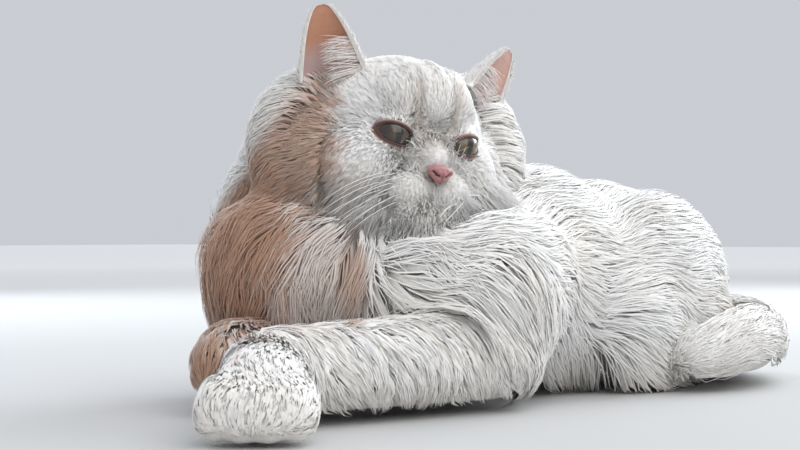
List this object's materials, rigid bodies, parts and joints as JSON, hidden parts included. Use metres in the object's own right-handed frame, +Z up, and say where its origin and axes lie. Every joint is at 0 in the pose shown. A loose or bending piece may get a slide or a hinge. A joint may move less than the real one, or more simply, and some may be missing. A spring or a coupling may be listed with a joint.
{
  "type": "persian cat model",
  "caption": "Still life-size model of a long-haired flat-faced cat lying on its chest, forelegs crossed, head turned to its left, tail curled round its flank.",
  "frame": {"origin": "on the floor, under the middle of the model's box", "axes": "the cat's chest faces -Y, its left side faces +X, +Z is up"},
  "size_m": [0.274, 0.5326, 0.2295],
  "materials": {
    "coat": "long soft white and cream fur",
    "ear_skin": "thin pink skin under sparse fur",
    "eye_gloss": "wet amber-brown eye",
    "nose_leather": "matt pink nose leather"
  },
  "bodies": {
    "root": {"head": "coat", "neck": "coat", "chest": "coat", "torso": "coat", "upperarm_left": "coat", "upperarm_right": "coat", "forearm_left": "coat", "forearm_right": "coat", "forepaw_left": "coat", "forepaw_right": "coat", "hindleg_left": "coat", "hindleg_right": "coat", "hindfoot_left": "coat", "hindfoot_right": "coat", "tail_root": "coat", "tail_middle": "coat", "tail_tip": "coat", "ear_left": "ear_skin", "ear_right": "ear_skin", "eye_left": "eye_gloss", "eye_right": "eye_gloss", "nose": "nose_leather"}
  },
  "joints": []
}
